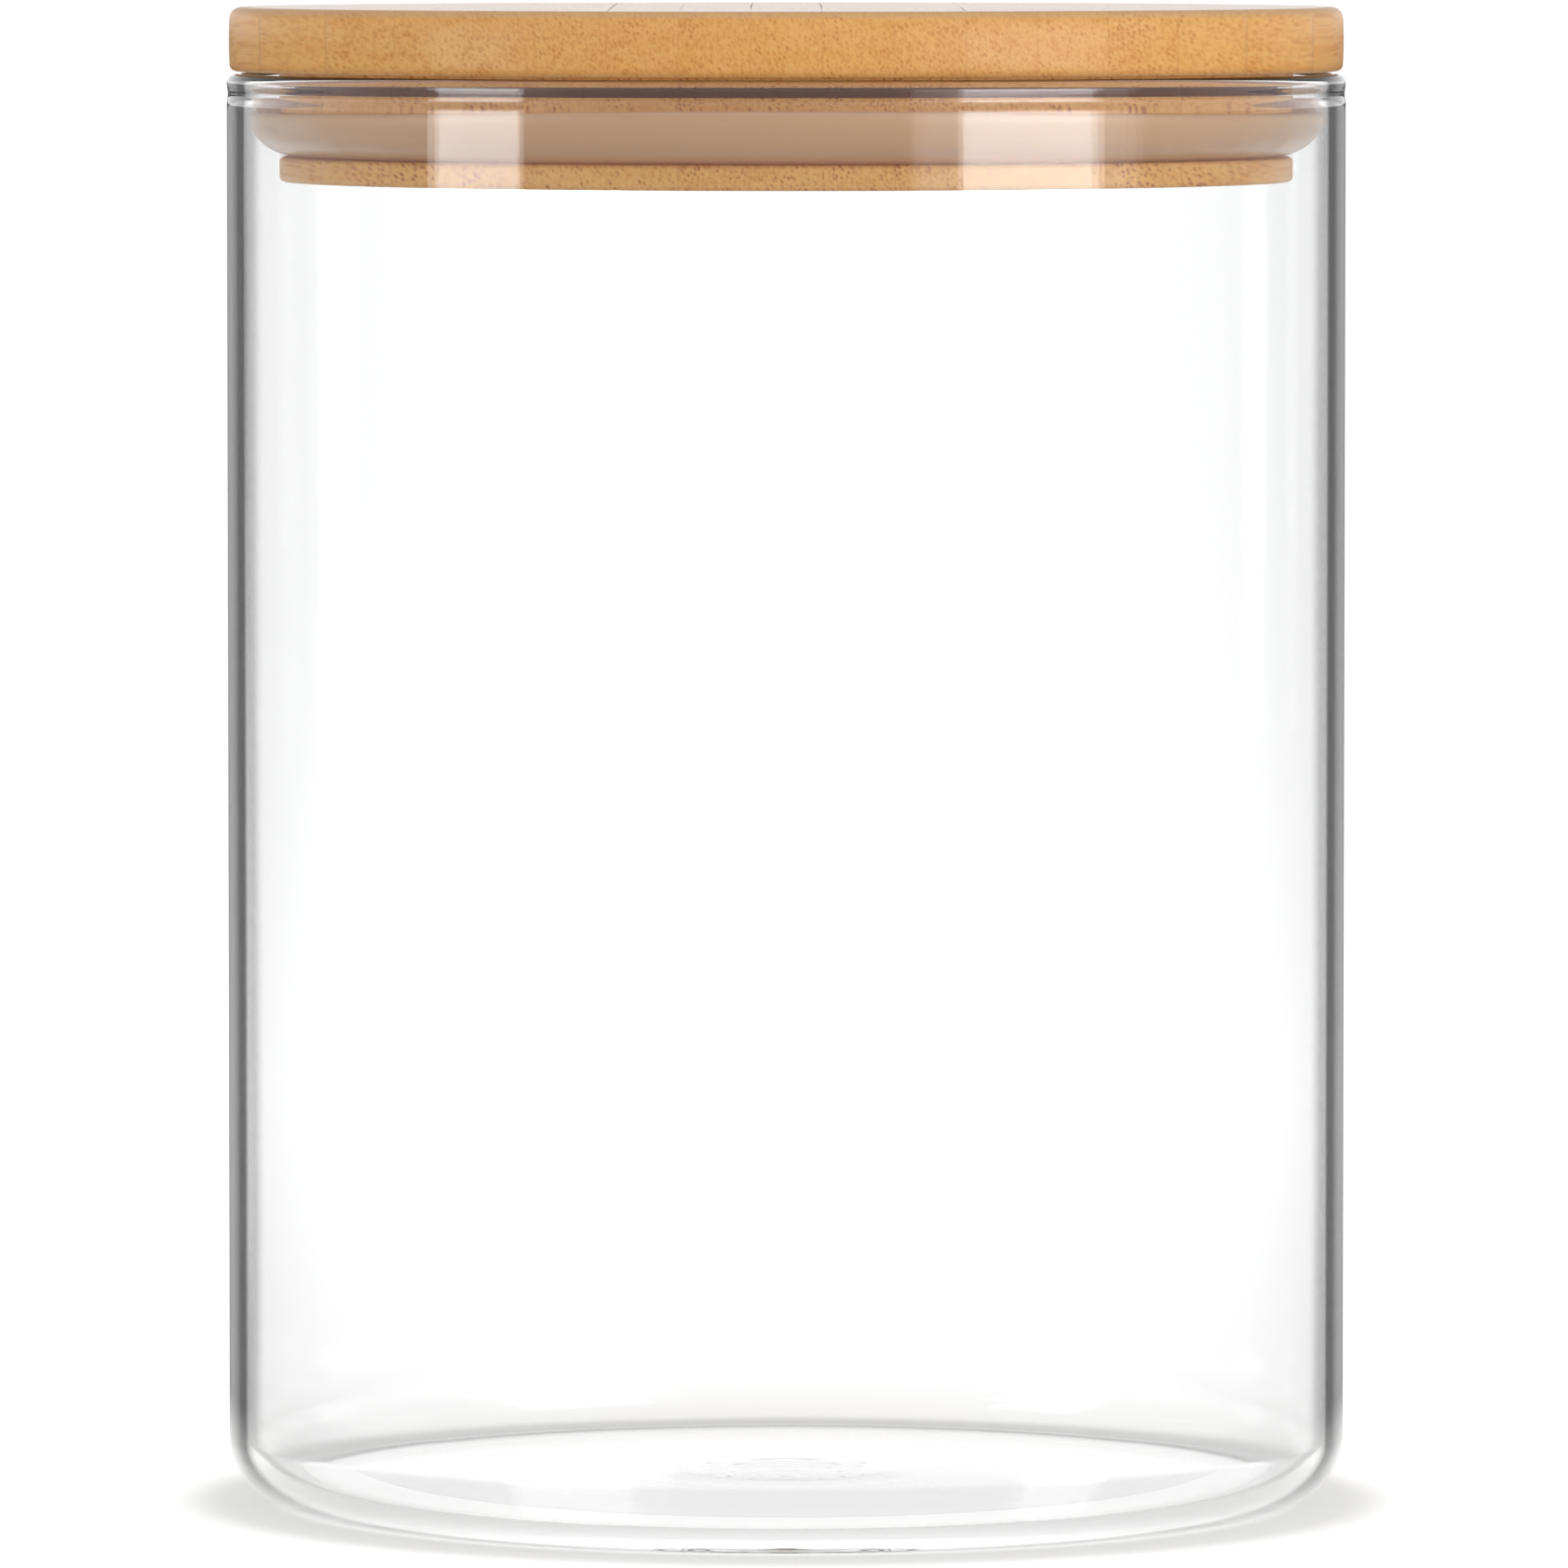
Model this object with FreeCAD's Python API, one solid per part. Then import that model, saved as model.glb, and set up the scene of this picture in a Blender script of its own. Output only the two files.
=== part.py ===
"""Glass storage canister with a turned bamboo lid and a silicone sealing ring.

The jar is one piece of blown borosilicate glass: a straight round wall with a fire-polished rim, a rounded
heel and a floor that is pushed up a little in the middle. The lid is turned from one slab of laminated bamboo,
which is a row of upright strips glued side by side: a disc as wide as the jar, and under it a plug with a
groove. The silicone ring sits in that groove, and its lip flares out and up against the inside of the glass.

Frame: millimetres, +Z up, origin on the jar's axis in the plane that it stands on. The strips run along Y.
"""
import FreeCAD, Part  # FreeCAD is loaded before Part
import math
import os

# ---- driving dimensions -------------------------------------------------------------------------------------
# Jar
jar_diameter = 100.0        # outside of the straight wall
jar_height = 128.1          # standing plane to the top of the rim
wall = 1.7                  # glass wall
heel_radius = 6.0           # outer rounding between wall and floor
floor_thickness = 2.0       # glass at the edge of the floor
standing_band = 5.0         # width of the flat ring that the jar stands on
punt_rise = 0.9             # how far the underside is pushed up at the middle
floor_crown = 0.7           # how far the inner floor rises from its edge to its middle

# Lid
disc_thickness = 5.7        # disc that covers the rim
disc_overhang = 0.0         # disc radius beyond the jar's
disc_top_round = 1.5        # rounding of the disc's upper edge
disc_bottom_round = 0.8     # rounding of the disc's lower edge
rim_clearance = 0.2         # gap between the rim and the disc when the lid is closed
plug_depth = 9.8            # plug below the disc
plug_clearance = 3.0        # gap between the plug and the glass, which the ring bridges
flange_thickness = 2.2      # bamboo below the groove
flange_round = 0.45         # rounding of the flange's two outer edges
groove_height = 4.0
groove_depth = 3.0

# Laminated slab that the lid is turned from
strip_count = 17            # an odd number, so that the middle strip lies on the axis
glue_line_margin = 1.2      # the outermost glue lines lie this far beyond the plug

# Silicone ring
ring_clearance = 0.05       # ring to groove, and lip to glass
band_thickness = 1.5        # ring's upright band against the groove's floor
lip_thickness = 0.9
lip_root = 0.7              # where the lip's underside starts, out from the band's inner face
lip_bulge = 0.5             # how far the lip's underside bows out from a straight line
lip_land = 0.35             # height of the lip's upright face that touches the glass
ring_edge_round = 0.25      # rounding of the band's upper edges

# ---- worked out from those ----------------------------------------------------------------------------------
jar_radius = jar_diameter / 2
bore_radius = jar_radius - wall
heel_inner_radius = heel_radius - wall
standing_outer = jar_radius - heel_radius
standing_inner = standing_outer - standing_band

disc_radius = jar_radius + disc_overhang
disc_bottom = jar_height + rim_clearance
disc_top = disc_bottom + disc_thickness
plug_radius = bore_radius - plug_clearance
plug_bottom = disc_bottom - plug_depth
groove_bottom = plug_bottom + flange_thickness
groove_top = groove_bottom + groove_height
groove_radius = plug_radius - groove_depth

strip_width = 2 * (plug_radius + glue_line_margin) / (strip_count - 2)

ring_inner = groove_radius + ring_clearance
ring_outer = bore_radius - ring_clearance
ring_bottom = groove_bottom + ring_clearance
ring_top = groove_top - ring_clearance
band_outer = ring_inner + band_thickness


# ---- profile helpers: a point is (radius, height) in the XZ plane --------------------------------------------
def vec(point):
    return FreeCAD.Vector(point[0], 0, point[1])


def line(a, b):
    return Part.LineSegment(vec(a), vec(b)).toShape()


def arc_through(a, mid, b):
    return Part.Arc(vec(a), vec(mid), vec(b)).toShape()


def quarter(centre, radius, start_deg, end_deg):
    """Arc about centre from one direction to another, where 0 degrees points outwards and 90 points up."""
    def at(angle):
        turn = math.radians(angle)
        return (centre[0] + radius * math.cos(turn), centre[1] + radius * math.sin(turn))
    return arc_through(at(start_deg), at((start_deg + end_deg) / 2), at(end_deg))


def bowed(a, b, bulge):
    """Arc from a to b whose middle stands bulge to the right of the straight line, seen along a to b."""
    run, rise = b[0] - a[0], b[1] - a[1]
    length = math.hypot(run, rise)
    mid = ((a[0] + b[0]) / 2 + bulge * rise / length, (a[1] + b[1]) / 2 - bulge * run / length)
    return arc_through(a, mid, b)


def dome_mid(edge_radius, edge_height, rise):
    """A point halfway out on the shallow arc that falls by rise from the axis to the edge."""
    sphere = (edge_radius ** 2 + rise ** 2) / (2 * rise)
    half = edge_radius / 2
    return (half, edge_height + rise - (sphere - math.sqrt(sphere ** 2 - half ** 2)))


def turned(edges):
    """Solid of revolution about Z from the closed profile that the edges make."""
    profile = Part.Face(Part.Wire(edges))
    return profile.revolve(FreeCAD.Vector(0, 0, 0), FreeCAD.Vector(0, 0, 1), 360)


# ---- jar ----------------------------------------------------------------------------------------------------
def glass_jar():
    """Wall, full-round rim, heel, pushed-up underside and crowned inner floor, in one piece of glass."""
    half_wall = wall / 2
    rim_centre = (jar_radius - half_wall, jar_height - half_wall)
    heel_centre_height = heel_radius
    inner_heel_centre = (bore_radius - heel_inner_radius, floor_thickness + heel_inner_radius)
    underside_middle = (0, punt_rise)
    floor_middle = (0, floor_thickness + floor_crown)
    floor_edge = (inner_heel_centre[0], floor_thickness)
    return turned([
        arc_through(underside_middle, dome_mid(standing_inner, 0, punt_rise), (standing_inner, 0)),
        line((standing_inner, 0), (standing_outer, 0)),
        quarter((standing_outer, heel_centre_height), heel_radius, -90, 0),
        line((jar_radius, heel_centre_height), (jar_radius, rim_centre[1])),
        quarter(rim_centre, half_wall, 0, 90),
        quarter(rim_centre, half_wall, 90, 180),
        line((bore_radius, rim_centre[1]), (bore_radius, inner_heel_centre[1])),
        quarter(inner_heel_centre, heel_inner_radius, 0, -90),
        arc_through(floor_edge, dome_mid(floor_edge[0], floor_thickness, floor_crown), floor_middle),
        line(floor_middle, underside_middle),
    ])


# ---- lid ----------------------------------------------------------------------------------------------------
def turned_lid():
    """The whole turned shape of the lid, before it is parted into its strips."""
    top_round_centre = (disc_radius - disc_top_round, disc_top - disc_top_round)
    bottom_round_centre = (disc_radius - disc_bottom_round, disc_bottom + disc_bottom_round)
    upper_flange_centre = (plug_radius - flange_round, groove_bottom - flange_round)
    lower_flange_centre = (plug_radius - flange_round, plug_bottom + flange_round)
    return turned([
        line((0, plug_bottom), (lower_flange_centre[0], plug_bottom)),
        quarter(lower_flange_centre, flange_round, -90, 0),
        line((plug_radius, lower_flange_centre[1]), (plug_radius, upper_flange_centre[1])),
        quarter(upper_flange_centre, flange_round, 0, 90),
        line((upper_flange_centre[0], groove_bottom), (groove_radius, groove_bottom)),
        line((groove_radius, groove_bottom), (groove_radius, groove_top)),
        line((groove_radius, groove_top), (plug_radius, groove_top)),
        line((plug_radius, groove_top), (plug_radius, disc_bottom)),
        line((plug_radius, disc_bottom), (bottom_round_centre[0], disc_bottom)),
        quarter(bottom_round_centre, disc_bottom_round, -90, 0),
        line((disc_radius, bottom_round_centre[1]), (disc_radius, top_round_centre[1])),
        quarter(top_round_centre, disc_top_round, 0, 90),
        line((top_round_centre[0], disc_top), (0, disc_top)),
        line((0, disc_top), (0, plug_bottom)),
    ])


def lid_strips():
    """One solid per bamboo strip: the turned lid, parted along the glue lines."""
    lid = turned_lid()
    slab_half = strip_count * strip_width / 2
    strips = {}
    for number in range(strip_count):
        corner = FreeCAD.Vector(-slab_half + number * strip_width, -slab_half, plug_bottom)
        blank = Part.makeBox(strip_width, 2 * slab_half, disc_top - plug_bottom, corner)
        strips[f"lid_strip_{number + 1:02d}"] = lid.common(blank)
    return strips


# ---- silicone ring ------------------------------------------------------------------------------------------
def seal_ring():
    """An upright band in the groove, with a lip that bows out and up to the glass."""
    root = (ring_inner + lip_root, ring_bottom)
    tip_radius = lip_thickness / 2
    tip_centre = (ring_outer - tip_radius, ring_top - tip_radius)
    land_bottom = (ring_outer, tip_centre[1] - lip_land)
    notch = (band_outer, ring_bottom + lip_root + lip_thickness)
    band_top_inner = (ring_inner + ring_edge_round, ring_top - ring_edge_round)
    band_top_outer = (band_outer - ring_edge_round, ring_top - ring_edge_round)
    lip_inside_top = (ring_outer - lip_thickness, tip_centre[1])
    return turned([
        line((ring_inner, ring_bottom), root),
        bowed(root, land_bottom, lip_bulge),
        line(land_bottom, (ring_outer, tip_centre[1])),
        quarter(tip_centre, tip_radius, 0, 90),
        quarter(tip_centre, tip_radius, 90, 180),
        bowed(lip_inside_top, notch, -lip_bulge),
        line(notch, (band_outer, band_top_outer[1])),
        quarter(band_top_outer, ring_edge_round, 0, 90),
        line((band_top_outer[0], ring_top), (band_top_inner[0], ring_top)),
        quarter(band_top_inner, ring_edge_round, 90, 180),
        line((ring_inner, band_top_inner[1]), (ring_inner, ring_bottom)),
    ])


# ---- write --------------------------------------------------------------------------------------------------
def main():
    os.makedirs("parts", exist_ok=True)
    pieces = {"glass_jar": glass_jar(), "seal_ring": seal_ring(), **lid_strips()}
    for name, shape in pieces.items():
        shape.exportStep(f"parts/{name}.step")
        state = "valid" if shape.isValid() else "NOT VALID"
        print(f"{name}: {len(shape.Solids)} solid, {shape.Volume / 1000:.2f} cm3, {state}")
    print(f"strip width {strip_width:.2f}, lid top at {disc_top:.1f}, plug bottom at {plug_bottom:.1f}")


main()
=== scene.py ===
# %% [markdown]
# # A glass canister with a bamboo lid
# The real object is three things that come apart: a jar of thin borosilicate glass, a lid turned from a slab
# of glued bamboo strips, and a silicone ring that sits in a groove of the lid and seals against the glass.
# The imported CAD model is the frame: it says where every piece is and what moves. This script gives the pieces
# their finished meshes, their materials, and a small studio to stand in.

# %% Load the frame and measure it
import math

import bpy
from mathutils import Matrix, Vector


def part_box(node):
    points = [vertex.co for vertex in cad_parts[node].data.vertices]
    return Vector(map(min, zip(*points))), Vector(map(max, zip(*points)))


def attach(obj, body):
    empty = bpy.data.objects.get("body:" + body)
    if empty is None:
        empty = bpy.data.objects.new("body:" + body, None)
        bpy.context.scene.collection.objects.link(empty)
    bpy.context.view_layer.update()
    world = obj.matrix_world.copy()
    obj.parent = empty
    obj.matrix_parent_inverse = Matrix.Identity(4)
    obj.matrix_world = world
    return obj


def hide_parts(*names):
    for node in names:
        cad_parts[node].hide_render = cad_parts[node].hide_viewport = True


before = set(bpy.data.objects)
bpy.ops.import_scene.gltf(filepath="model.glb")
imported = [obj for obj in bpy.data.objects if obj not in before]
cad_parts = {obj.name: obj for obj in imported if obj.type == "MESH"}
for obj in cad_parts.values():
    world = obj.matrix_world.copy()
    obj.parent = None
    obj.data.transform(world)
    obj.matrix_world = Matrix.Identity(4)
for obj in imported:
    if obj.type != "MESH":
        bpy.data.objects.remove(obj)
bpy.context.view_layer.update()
mm = 0.001
jar_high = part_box("glass_jar")[1]
ring_low, ring_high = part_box("seal_ring")
lid_low, lid_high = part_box("lid_strip_09")

# %% [markdown]
# ## Drawing a section and spinning it
# Jar, ring and lid are all round, and the real ones are made round too: glass is blown in a turning mould, and
# bamboo is turned on a lathe. So each is drawn as a section, from one corner that is extruded point by point,
# and then spun once round the axis. A subdivided cylinder could be pushed into shape instead, but its rings
# would never follow the small rounded edges that catch the light.


# %% Helpers: points of a section
def arc(centre, radius, start, end, steps):
    """Points on a circle from one direction to another, in degrees: 0 points outwards and 90 points up."""
    turns = [math.radians(start + (end - start) * step / steps) for step in range(steps + 1)]
    return [(centre[0] + radius * math.cos(t), centre[1] + radius * math.sin(t)) for t in turns]


def run(start, end, steps):
    """Points along a straight line, without its first."""
    shares = [step / steps for step in range(1, steps + 1)]
    return [(start[0] + (end[0] - start[0]) * s, start[1] + (end[1] - start[1]) * s) for s in shares]


def bow(start, end, bulge, steps):
    """Points on a shallow curve from start to end, which stands bulge to the right of the straight line."""
    length = math.dist(start, end)
    side = ((end[1] - start[1]) / length, (start[0] - end[0]) / length)
    points = []
    for step in range(1, steps + 1):
        share = step / steps
        out = bulge * 4 * share * (1 - share)
        points.append(tuple(a + (b - a) * share + s * out for a, b, s in zip(start, end, side)))
    return points


# %% Helpers: from a section to a round solid
round_steps = 288         # faces round the jar and the ring
lid_round_steps = 360     # and round the lid
seam_gap = 0.001 * mm     # vertices closer than this are one
crease_angle = math.radians(40)


def draw_section(name, points):
    """Extrudes one vertex through the points, given as (distance from the axis, height)."""
    bpy.ops.object.select_all(action="DESELECT")
    first = (points[0][0], 0, points[0][1])
    # No primitive is a single vertex, so a small plane is merged to its middle.
    bpy.ops.mesh.primitive_plane_add(size=1 * mm, location=first)
    piece = bpy.context.object
    piece.name = piece.data.name = name
    bpy.ops.object.transform_apply(location=True, rotation=True, scale=True)
    bpy.ops.object.mode_set(mode="EDIT")
    bpy.ops.mesh.select_mode(type="VERT")
    bpy.ops.mesh.select_all(action="SELECT")
    bpy.ops.mesh.merge(type="CENTER")
    for (r0, z0), (r1, z1) in zip(points, points[1:]):
        bpy.ops.mesh.extrude_vertices_move(TRANSFORM_OT_translate={"value": (r1 - r0, 0, z1 - z0)})
    return piece


def spin_section(steps):
    """Spins the section that is being edited once round, closes its seam and poles, and points it outwards."""
    bpy.ops.mesh.select_all(action="SELECT")
    bpy.ops.mesh.spin(steps=steps, angle=math.tau, center=(0, 0, 0), axis=(0, 0, 1))
    bpy.ops.mesh.select_all(action="SELECT")
    bpy.ops.mesh.remove_doubles(threshold=seam_gap)
    bpy.ops.mesh.normals_make_consistent(inside=False)
    bpy.ops.object.mode_set(mode="OBJECT")


def turned(name, points, steps):
    """A round piece from the points of its section."""
    piece = draw_section(name, points)
    spin_section(steps)
    print(f"{name}: {len(points)} points in its section, {len(piece.data.polygons)} faces")
    return piece


# %% [markdown]
# ## The jar
# One skin of glass goes from the middle of the underside, out over the ring that the jar stands on, round the
# heel, up the wall, over the fire-polished rim, down the inside and back to the middle of the floor. Glass is
# looked through, so both sides of every wall are modelled, and the curves have many points: each facet would
# bend the light by itself. The underside is pushed up a little and keeps the faint rings of the press mark.
# Just below the rim the wall draws in by a tenth of a millimetre, where the flame softened it.

# %% The jar's sizes
jar_radius = jar_high.x
rim_height = jar_high.z
wall = 1.7 * mm
bore = jar_radius - wall
heel = 6 * mm               # outer rounding between wall and floor
floor_edge = 2 * mm         # height of the inner floor at its edge
standing_inner = 39 * mm    # inside of the flat ring that the jar stands on
punt_rise = 0.9 * mm        # how far the underside is pushed up in the middle
floor_crown = 0.7 * mm      # how far the inner floor rises to its middle
bead_height = 0.85 * mm     # from the widest place of the rounded rim to its top
waist = 0.1 * mm            # how far the wall draws in below the rim
waist_height = 2.0 * mm
waist_lead = 0.5 * mm       # short faces here keep the waist's shading off the long straight wall
print(f"jar: radius {jar_radius / mm:.1f}, rim at {rim_height / mm:.1f}, wall {wall / mm:.1f} mm")

# %% The underside and floor, as heights over the distance from the axis
press_mark = 9.5 * mm       # radius of the dish in the middle
dish = 0.15 * mm            # its depth
dish_edge = 0.6 * mm        # how softly it ends
ripple_end = 26 * mm        # the faint rings have died away here
ripple_length = 2.6 * mm    # from one ring to the next
ripple_height = 0.012 * mm
ripple_fade = 1.5
inside_share = 0.5          # the inner floor follows the press mark by this much


def ripple(r):
    """The press mark: a shallow dish in the middle, and rings around it that die away."""
    if r > ripple_end:
        return 0.0
    fade = (1 - r / ripple_end) ** ripple_fade
    sunk = dish / (1 + math.exp((r - press_mark) / dish_edge))
    return sunk + ripple_height * fade * math.sin(math.tau * r / ripple_length)


def underside(r):
    """Height of the pushed-up underside."""
    return punt_rise * (1 - (r / standing_inner) ** 2) + ripple(r)


def inner_floor(r, edge):
    """Height of the crowned inner floor, which ends at edge."""
    return floor_edge + floor_crown * (1 - (r / edge) ** 2) + inside_share * ripple(r)


print(f"underside rises to {underside(0) / mm:.2f} mm in the middle")

# %% The jar's section
heel_inner = heel - wall
inner_flat = bore - heel_inner
inner_heel_top = floor_edge + heel_inner
half_wall = wall / 2
rim_centre = (jar_radius - half_wall, rim_height - bead_height)
waist_foot = rim_centre[1] - waist_height
ripple_steps = 56
waist_steps = 16
floor_steps = 50


def waist_point(share):
    """A point of the drawn-in wall, from the waist's foot at 0 to the rim's bead at 1."""
    return (jar_radius - waist * (1 - math.cos(math.tau * share)) / 2, waist_foot + waist_height * share)


ripple_radii = [ripple_end * step / ripple_steps for step in range(ripple_steps + 1)]
jar_points = [(r, underside(r)) for r in ripple_radii]
jar_points += [(r, underside(r)) for r, _ in run((ripple_end, 0), (standing_inner, 0), 8)]
jar_points += run((standing_inner, 0), (jar_radius - heel, 0), 3)
jar_points += arc((jar_radius - heel, heel), heel, -90, 0, 28)[1:]
jar_points += run((jar_radius, heel), (jar_radius, waist_foot - waist_lead), 38)
jar_points += run(jar_points[-1], (jar_radius, waist_foot), 2)
jar_points += [waist_point(step / waist_steps) for step in range(1, waist_steps + 1)]
rim_circle = arc((rim_centre[0], 0), half_wall, 0, 180, 30)[1:]
jar_points += [(r, rim_centre[1] + z * bead_height / half_wall) for r, z in rim_circle]
jar_points += run((bore, rim_centre[1]), (bore, inner_heel_top), 40)
jar_points += arc((inner_flat, inner_heel_top), heel_inner, 0, -90, 22)[1:]
floor_radii = [inner_flat * (1 - step / floor_steps) for step in range(1, floor_steps + 1)]
jar_points += [(r, inner_floor(r, inner_flat)) for r in floor_radii]

jar = turned("canister_glass", jar_points, round_steps)

# %% [markdown]
# ### Drawn glass is never quite even
# The inside of a blown wall wanders by a few hundredths of a millimetre, mostly as long upright streaks. That
# is what makes a reflection on glass look alive. A Displace modifier moves the inner wall along its normals by
# a cloud texture, which an empty that is stretched upwards holds in place. It is applied, and the empty goes.

# %% Uneven inner wall
uneven_low = 12 * mm                    # below this and above the next the wall stays even
uneven_high = rim_height - 4 * mm
ease_length = 15 * mm                   # the unevenness comes and goes over this length
on_wall = 0.05 * mm                     # a vertex this close to the bore belongs to the inner wall
streak_size = (14 * mm, 14 * mm, 120 * mm)


def uneven_wall(piece, strength):
    """Moves the inner wall by a cloud texture that is stretched upwards."""
    group = piece.vertex_groups.new(name="inner_wall")
    for vertex in piece.data.vertices:
        level = vertex.co.z
        from_bore = math.hypot(vertex.co.x, vertex.co.y) - bore
        if abs(from_bore) < on_wall and uneven_low < level < uneven_high:
            ease = min(1, (level - uneven_low) / ease_length, (uneven_high - level) / ease_length)
            group.add([vertex.index], ease, "REPLACE")
    clouds = bpy.data.textures.new("wall_streaks", "CLOUDS")
    clouds.noise_scale = 1.0
    clouds.noise_depth = 1
    stretch = bpy.data.objects.new("wall_stretch", None)
    bpy.context.scene.collection.objects.link(stretch)
    stretch.scale = streak_size
    bpy.context.view_layer.update()
    displace = piece.modifiers.new("uneven_wall", "DISPLACE")
    displace.texture = clouds
    displace.texture_coords = "OBJECT"
    displace.texture_coords_object = stretch
    displace.vertex_group = group.name
    displace.strength = strength
    bpy.context.view_layer.objects.active = piece
    bpy.ops.object.modifier_apply(modifier=displace.name)
    bpy.data.objects.remove(stretch)
    piece.vertex_groups.clear()


uneven_wall(jar, 0.06 * mm)
bpy.ops.object.shade_smooth()
print("inner wall moved, jar box in mm:", [round(v / mm, 2) for v in jar.dimensions])

# %% [markdown]
# ## The silicone ring
# A moulded ring with an upright band in the lid's groove, and a thin lip that flares out and up to the glass.
# Its section is a closed loop away from the axis, so the last point is the first again, and the spun skin
# closes by itself. Once it's in the jar the soft lip isn't quite level: it rides up a little at front and
# back.

# %% The ring's section
ring_outer = ring_high.x
ring_bottom, ring_top = ring_low.z, ring_high.z
ring_width = 5.9 * mm
ring_inner = ring_outer - ring_width
band = 1.5 * mm             # thickness of the upright band
band_round = 0.25 * mm
lip = 0.9 * mm              # thickness of the lip
lip_root = 0.7 * mm         # the lip's underside starts this far out
lip_land = 0.35 * mm        # height of the face that touches the glass
lip_bulge = 1.0 * mm        # how far the lip's underside bows out
band_outer = ring_inner + band

tip = (ring_outer - lip / 2, ring_top - lip / 2)
root = (ring_inner + lip_root, ring_bottom)
notch = (band_outer, ring_bottom + lip_root + lip)
ring_points = [(ring_inner, ring_bottom)]
ring_points += run(ring_points[-1], root, 3)
ring_points += bow(root, (ring_outer, tip[1] - lip_land), lip_bulge, 22)
ring_points += arc(tip, lip / 2, 0, 180, 14)
ring_points += bow((ring_outer - lip, tip[1]), notch, -lip_bulge, 16)
ring_points += run(notch, (band_outer, ring_top - band_round), 6)
ring_points += arc((band_outer - band_round, ring_top - band_round), band_round, 0, 90, 5)[1:]
ring_points += run(ring_points[-1], (ring_inner + band_round, ring_top), 4)
ring_points += arc((ring_inner + band_round, ring_top - band_round), band_round, 90, 180, 5)[1:]
ring_points += run(ring_points[-1], ring_points[0], 8)
seal = turned("silicone_seal", ring_points, round_steps)

# %% Let the lip ride up a little at the front and back
lip_rise = 0.85 * mm
for vertex in seal.data.vertices:
    spot = vertex.co
    outward = (math.hypot(spot.x, spot.y) - band_outer) / (ring_outer - band_outer)
    upward = (spot.z - ring_bottom) / (ring_top - ring_bottom)
    if outward > 0:
        front = spot.y ** 2 / (spot.x ** 2 + spot.y ** 2)
        spot.z += lip_rise * front * min(1, outward) ** 2 * upward ** 2
bpy.ops.object.shade_smooth_by_angle(angle=crease_angle)
seal_top = max(vertex.co.z for vertex in seal.data.vertices)
print(f"lip rides up by {(seal_top - ring_top) / mm:.2f} mm at the front and back")

# %% [markdown]
# ## The lid
# A bamboo culm is a thin tube, so wide bamboo is always glued up from narrow strips. The slab is turned to a
# disc with a plug below, and the plug gets its groove. Here the turned shape is made first, and then each
# strip is cut out of a copy of it with two bisecting planes, which close the cut with a face. The planes lie
# where the CAD strips end, so every strip stands for its own CAD node. Bisect leaves a vertex within 0.1 mm of
# its plane where it is, so a cut face is flat only to that; a smaller threshold would make it flatter.
# A narrow relief groove runs round the plug just below the disc, and the shade inside it is painted on as a
# dark brown line.

# %% The lid's sizes
disc_radius = lid_high.y
disc_top = lid_high.z
plug_bottom = lid_low.z
rim_gap = 0.2 * mm          # between the rim and the disc
plug_gap = 3 * mm           # between the plug and the glass
flange_thickness = 2.2 * mm
flange_round = 0.45 * mm
groove_height = 4 * mm
groove_depth = 3 * mm
top_round = 1.0 * mm
bottom_round = 0.6 * mm
side_crown = 0.06 * mm      # how far the disc's side bows out
side_setback = 0.25 * mm    # how far its edges stay inside the CAD disc
relief_depth = 1.4 * mm
relief_slope = 0.1 * mm     # its two faces lean by this much

disc_bottom = rim_height + rim_gap
plug_radius = bore - plug_gap
groove_bottom = plug_bottom + flange_thickness
groove_top = groove_bottom + groove_height
groove_floor = plug_radius - groove_depth
side_radius = disc_radius - side_setback
relief_bottom = disc_bottom - 1.55 * mm
relief_top = disc_bottom - 0.7 * mm
relief_floor = plug_radius - relief_depth
print(f"disc {(disc_top - disc_bottom) / mm:.1f} mm, plug {(disc_bottom - plug_bottom) / mm:.1f} mm")

# %% The lid's section
top_centre = (side_radius - top_round, disc_top - top_round)
bottom_centre = (side_radius - bottom_round, disc_bottom + bottom_round)
upper_flange = (plug_radius - flange_round, groove_bottom - flange_round)
lower_flange = (plug_radius - flange_round, plug_bottom + flange_round)
lid_points = [(0, plug_bottom)]
lid_points += run(lid_points[0], (lower_flange[0], plug_bottom), 9)
lid_points += arc(lower_flange, flange_round, -90, 0, 6)[1:]
lid_points += run(lid_points[-1], (plug_radius, upper_flange[1]), 2)
lid_points += arc(upper_flange, flange_round, 0, 90, 6)[1:]
lid_points += run(lid_points[-1], (groove_floor, groove_bottom), 2)
lid_points += run(lid_points[-1], (groove_floor, groove_top), 2)
lid_points += run(lid_points[-1], (plug_radius, groove_top), 2)
lid_points += run(lid_points[-1], (plug_radius, relief_bottom), 3)
lid_points += run(lid_points[-1], (relief_floor, relief_bottom + relief_slope), 2)
lid_points += run(lid_points[-1], (relief_floor, relief_top), 2)
lid_points += run(lid_points[-1], (plug_radius, relief_top + relief_slope), 2)
lid_points += run(lid_points[-1], (plug_radius, disc_bottom), 2)
lid_points += run(lid_points[-1], (bottom_centre[0], disc_bottom), 3)
lid_points += arc(bottom_centre, bottom_round, -90, 0, 8)[1:]
lid_points += bow(lid_points[-1], (side_radius, top_centre[1]), side_crown, 8)
lid_points += arc(top_centre, top_round, 0, 90, 12)[1:]
lid_points += run(lid_points[-1], (0, disc_top), 9)
turned_lid = turned("turned_lid", lid_points, lid_round_steps)

# %% Cut the lid into its strips
outermost = disc_radius - 0.3 * mm      # a strip that ends beyond this reaches the lid's edge


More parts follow.
